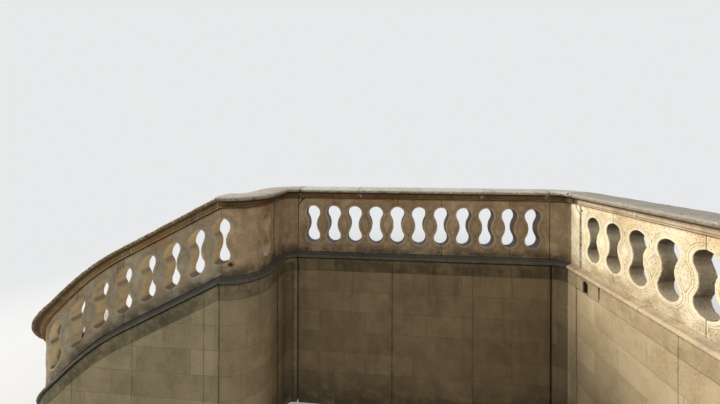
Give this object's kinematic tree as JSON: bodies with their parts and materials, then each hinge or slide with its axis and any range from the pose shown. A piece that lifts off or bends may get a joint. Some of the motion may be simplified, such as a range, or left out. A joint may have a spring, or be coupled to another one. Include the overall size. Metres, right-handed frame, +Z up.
{
  "type": "stone balustrade round a terrace corner",
  "caption": "Stone balustrade with hourglass openings, moulded coping and ledge, round a terrace corner and down a flight of steps.",
  "frame": {"origin": "under the middle bay's centre line, on the lowest ground that the balustrade meets", "axes": "+X along the middle bay towards the right bay, +Y out of the terrace, +Z up"},
  "size_m": [7.2038, 4.4859, 2.933],
  "materials": {
    "panel_stone": "weathered sandstone, tooled and pitted",
    "coping_stone": "weathered sandstone with grey lichen",
    "ledge_stone": "weathered sandstone, dark with damp and lichen",
    "wall_stone": "weathered sandstone, mossy at the foot"
  },
  "bodies": {
    "root": {"middle_panel_1": "panel_stone", "middle_panel_2": "panel_stone", "middle_panel_3": "panel_stone", "middle_panel_4": "panel_stone", "middle_panel_5": "panel_stone", "right_panel_1": "panel_stone", "right_panel_2": "panel_stone", "right_panel_3": "panel_stone", "right_panel_4": "panel_stone", "right_panel_5": "panel_stone", "stair_panel_1": "panel_stone", "stair_panel_2": "panel_stone", "stair_panel_3": "panel_stone", "stair_panel_4": "panel_stone", "stair_panel_5": "panel_stone", "left_corner_block": "panel_stone", "left_pier": "panel_stone", "right_pier": "panel_stone", "stair_end_pier": "panel_stone", "right_end_pier": "panel_stone", "middle_coping_1": "coping_stone", "middle_coping_2": "coping_stone", "middle_coping_3": "coping_stone", "middle_coping_4": "coping_stone", "right_coping_1": "coping_stone", "right_coping_2": "coping_stone", "right_coping_3": "coping_stone", "right_coping_4": "coping_stone", "stair_coping_1": "coping_stone", "stair_coping_2": "coping_stone", "stair_coping_3": "coping_stone", "stair_coping_4": "coping_stone", "left_corner_coping": "coping_stone", "right_pier_coping": "coping_stone", "middle_ledge": "ledge_stone", "right_ledge": "ledge_stone", "stair_ledge": "ledge_stone", "left_corner_ledge": "ledge_stone", "right_corner_ledge": "ledge_stone", "middle_wall": "wall_stone", "right_wall": "wall_stone", "stair_wall": "wall_stone", "left_corner_wall": "wall_stone", "right_corner_wall": "wall_stone", "drain_stone": "wall_stone"}
  },
  "joints": []
}
